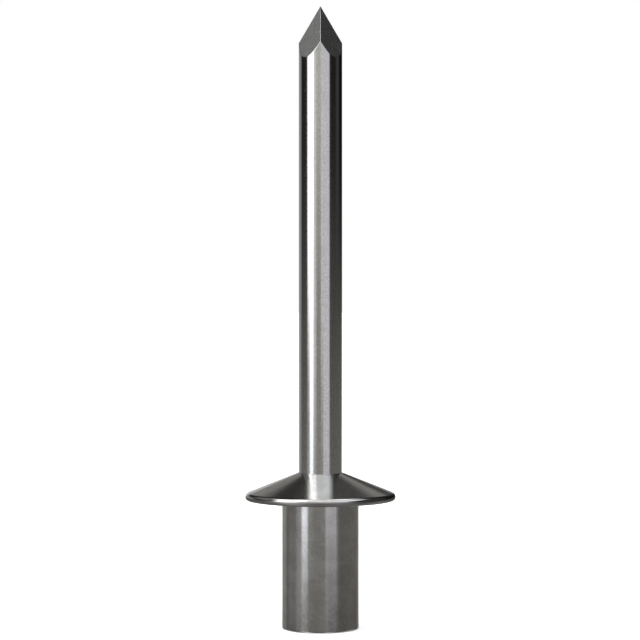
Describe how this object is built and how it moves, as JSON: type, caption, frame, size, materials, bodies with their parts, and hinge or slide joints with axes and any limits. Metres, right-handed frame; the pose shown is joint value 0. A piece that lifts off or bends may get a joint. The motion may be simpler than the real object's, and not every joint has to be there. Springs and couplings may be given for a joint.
{
  "type": "blind rivet",
  "caption": "Closed-end steel blind rivet: a sealed barrel with a conical flange, on a straight pulling mandrel with a four-faced point.",
  "frame": {"origin": "centre of the flat closed end of the barrel, on which the rivet stands", "axes": "+Z along the rivet's axis, from the closed end to the mandrel's point; an edge of the four-faced point faces along each of X and Y"},
  "size_m": [0.0094, 0.0094, 0.0388],
  "materials": {
    "body_steel": "satin drawn and headed stainless steel, with a bright rolled rim",
    "mandrel_steel": "bright drawn stainless wire with fine lengthwise lines, and a matt pinched point"
  },
  "bodies": {
    "root": {"rivet_body": "body_steel", "mandrel": "mandrel_steel"}
  },
  "joints": []
}
